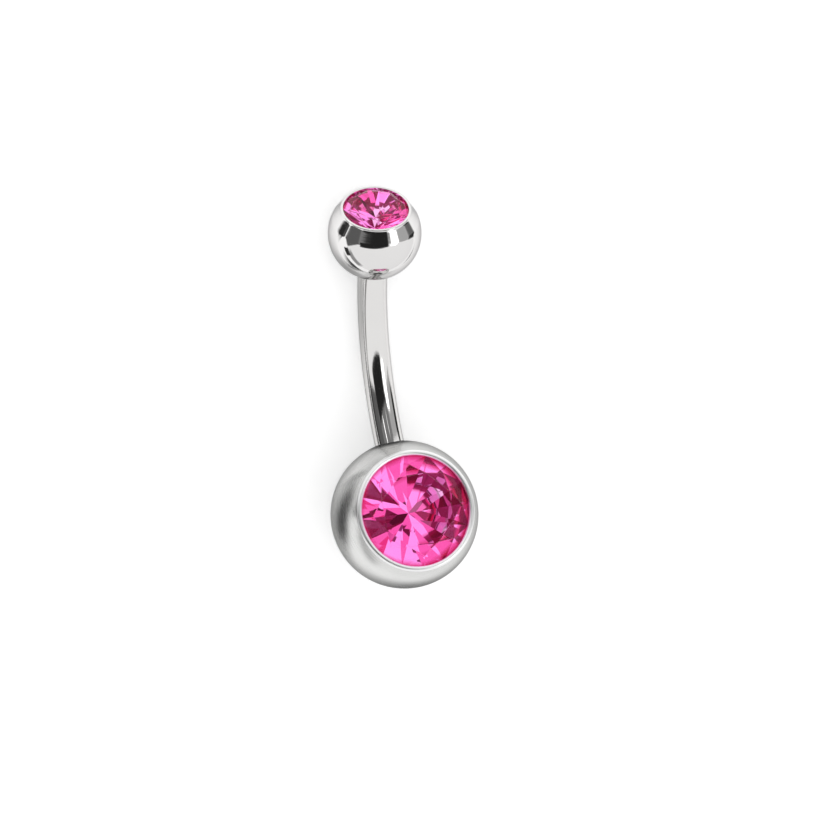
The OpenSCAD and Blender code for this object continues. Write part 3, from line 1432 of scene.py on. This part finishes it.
BOARDS: tuple[Board, ...] = (
    Facing(
        name="stone_right", glow=0.04, spot=(85, 35, 95), size=(50, 45), shown=Shown.STONES
    ),
    Facing(
        name="stone_left", glow=0.05, spot=(-140, 30, 10), size=(40, 100), shown=Shown.STONES
    ),
    Facing(name="stone_top", glow=0.02, spot=(40, 60, 120), size=(22, 22), shown=Shown.STONES),
    Facing(
        name="stone_bar", glow=0.02, spot=(-60, 70, 110), size=(25, 60), roll=30, shown=Shown.STONES
    ),
    Facing(name="stone_low", glow=0.02, spot=(70, -60, 100), size=(30, 30), shown=Shown.STONES),
    Facing(name="board_lens", glow=0.02, soft=0.06, spot=(-2, -62, 136), size=(216, 76)),
    Facing(name="board_left", glow=0.12, soft=0.08, spot=(-121, -23, 82), size=(112, 86)),
    Facing(name="board_far", glow=0.14, soft=0.2, spot=(145, 16, -16), size=(62, 50), roll=-18),
    Facing(name="board_front", glow=0.22, soft=0.05, spot=(0, 0, 160), size=(340, 84)),
    Facing(name="board_right", glow=0.46, soft=0.1, spot=(146, 4, 60), size=(180, 66)),
    Facing(name="box_right", glow=3.0, soft=0.15, spot=(104, -47, 88), size=(46, 32), roll=-14),
    Facing(name="box_cone", glow=3.0, soft=0.25, spot=(104, -19, 90), size=(54, 34), roll=-16),
    Facing(name="strip_centre", glow=2.2, soft=0.2, spot=(-26, -8, 130), size=(11, 34)),
    Facing(name="strip_right", glow=0.9, soft=0.3, spot=(45, -2, 135), size=(14, 40)),
    Wall(name="wall_left", glow=0.03, soft=0.1, start=(-4.8, 20), end=(3, 20), high=4.5),
    Wall(name="wall_far", glow=0.32, soft=0.2, start=(-60, 34), end=(-12, 62), high=14),
    Mat(name="mat_left", glow=0.1, soft=0.3, centre=(-6, 10.8), size=(18, 13)),
    Mat(name="mat_dark", glow=0.03, soft=0.4, centre=(-8.2, 11), size=(9, 10), lift=0.055),
    Mat(name="mat_post", glow=0.03, soft=0.15, centre=(12.3, 15.5), size=(3.6, 17), turn=-14),
    Mat(name="mat_edge", glow=0.08, soft=0.1, centre=(19.2, 42), size=(8, 72), turn=-14, lift=0.04),
    Mat(name="mat_line", glow=0.3, soft=0.3, centre=(-0.5, 5.6), size=(8, 2), lift=0.06),
    Wall(name="wall_right", glow=0.03, soft=0.15, start=(-9, -60), end=(8, -60), high=27, low=1),
    Mat(name="mat_right", glow=0.25, soft=0.4, centre=(-11, -22), size=(16, 14)),
    # painted shade: a dark sheet on the floor under the bar, which the steel reflects as shade
    # there
    Mat(name="mat_bar_painted_shade", glow=0.55, soft=0.4, centre=(3.2, 3.4), size=(11, 8), lift=0.04),
    # painted shade: a dark sheet on the floor round the lower ball, which its underside reflects as
    # shade
    Mat(name="mat_lower_painted_shade", glow=0.4, soft=0.45, centre=(-19, -1), size=(36, 20), lift=0.03),
)


@dataclass(frozen=True)
class Glow(Finish):
    """Light of a board, fading out towards its sides."""

    strength: float
    soft: float

    def fill(self, graph: Graph) -> None:
        """Fills the graph: light of one strength and a clear rim.

        Args:
            graph: The material's graph.
        """
        colour = {"Color": (*WHITE, 1.0), "Strength": self.strength}
        light = graph.add("ShaderNodeEmission", None, colour)
        clear = graph.add("ShaderNodeBsdfTransparent")
        where = graph.add("ShaderNodeTexCoord", out="UV")
        stops = [(0, BLACK), (self.soft, WHITE), (1 - self.soft, WHITE), (1, BLACK)]
        across, along = (
            graph.ramp(graph.add("ShaderNodeSeparateXYZ", None, {0: where}, axis), stops)
            for axis in ("X", "Y")
        )
        mixed = graph.add("ShaderNodeMixShader", None, {0: across * along, 1: clear, 2: light})
        graph.finish(mixed)


@dataclass
class Studio:
    """Pale floor, soft light and the camera.

    Lengths are in metres, but the lens and its sensor are in millimetres.
    """

    aim: Vector = Vector((0, 0, 0.003))
    right: Vector = Vector((-0.0691, -0.9423, 0.3276))
    up: Vector = Vector((0.9237, -0.1845, -0.3359))
    back: Vector = Vector((0.3770, 0.2794, 0.8831))
    aside: Point = (0.00119, -0.00123)
    distance: float = 0.3
    lens: float = 244.5
    sensor: float = 36.0
    clip: Point = (0.001, 10.0)
    floor_size: float = 1.2
    pale: Matt = Matt("floor_pale", (0.93, 0.93, 0.93), rough=0.9, glow=0.2)
    room_light: float = 0.97
    lamp_watts: float = 0.12
    lamp_size: float = 0.1
    lamp_back: float = 0.02
    lamp_up: float = 0.03

    def __post_init__(self) -> None:
        """Squares the camera's axes."""
        self.back = self.back.normalized()
        self.right = self.up.cross(self.back).normalized()
        self.up = self.back.cross(self.right)

    def axes(self) -> Matrix:
        """The camera's axes, as a rotation."""
        return Matrix((self.right, self.up, self.back)).transposed()

    def camera(self) -> None:
        """Sets the camera at the photograph's angle."""
        bpy.ops.object.camera_add()
        camera = bpy.context.object
        camera.name = "photo_camera"
        aside = self.right * self.aside[0] + self.up * self.aside[1]
        spot = self.aim + aside + self.back * self.distance
        camera.matrix_world = Matrix.Translation(spot) @ self.axes().to_4x4()
        camera.data.lens = self.lens
        camera.data.sensor_width = self.sensor
        camera.data.clip_start, camera.data.clip_end = self.clip
        bpy.context.scene.camera = camera

    def floor(self) -> None:
        """Lays the floor."""
        Bench.clear()
        bpy.ops.mesh.primitive_plane_add(size=self.floor_size, location=(0, 0, 0))
        floor = Bench.named("floor")
        Bench.dress(floor, (self.pale,))

    def room(self) -> None:
        """Lights the room evenly in white."""
        room = bpy.data.worlds.new("white_room")
        room.use_nodes = True
        graph = Graph(room.node_tree)
        colour = {"Color": (*WHITE, 1.0), "Strength": self.room_light}
        light = graph.add("ShaderNodeBackground", None, colour)
        graph.add("ShaderNodeOutputWorld", None, {"Surface": light})
        bpy.context.scene.world = room

    def board(self, plan: Board) -> None:
        """Sets up a board.

        Args:
            plan: Its place, size and light.
        """
        Bench.clear()
        bpy.ops.mesh.primitive_plane_add(size=1, location=(0, 0, 0))
        board = Bench.named(plan.name)
        board.data.transform(plan.place(self.axes(), self.aim))
        Bench.dress(board, (Glow(plan.name, plan.glow, plan.soft),))
        board.visible_camera = False
        board.visible_diffuse = False
        board.visible_shadow = False
        board.visible_glossy = plan.shown is Shown.STEEL
        board.visible_transmission = plan.shown is Shown.STONES

    def lamp(self) -> None:
        """Hangs a square soft box over the camera that faces the piece."""
        spot = self.aim + self.back * (self.distance + self.lamp_back) + self.up * self.lamp_up
        Bench.clear()
        bpy.ops.object.light_add(type="AREA", location=spot)
        lamp = bpy.context.object
        lamp.name = "soft_box_front"
        lamp.data.shape = "SQUARE"
        lamp.data.size = self.lamp_size
        lamp.data.energy = self.lamp_watts
        lamp.visible_glossy = False
        lamp.visible_transmission = False
        lamp.rotation_mode = "QUATERNION"
        lamp.rotation_quaternion = (self.aim - spot).to_track_quat("-Z", "Y")

    def build(self) -> None:
        """Sets up the whole studio."""
        self.camera()
        self.floor()
        self.room()
        for plan in BOARDS:
            self.board(plan)
        self.lamp()
        bpy.context.scene.view_settings.view_transform = "Standard"


def write_sizes() -> None:
    """Brings the scene's placements up to date."""
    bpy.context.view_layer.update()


def main() -> None:
    """Builds the piece and its studio and reports each step."""
    logging.basicConfig(level=logging.INFO, format="%(message)s")
    NavelRing().build()
    Studio().build()
    write_sizes()


if __name__ == "__main__":
    main()
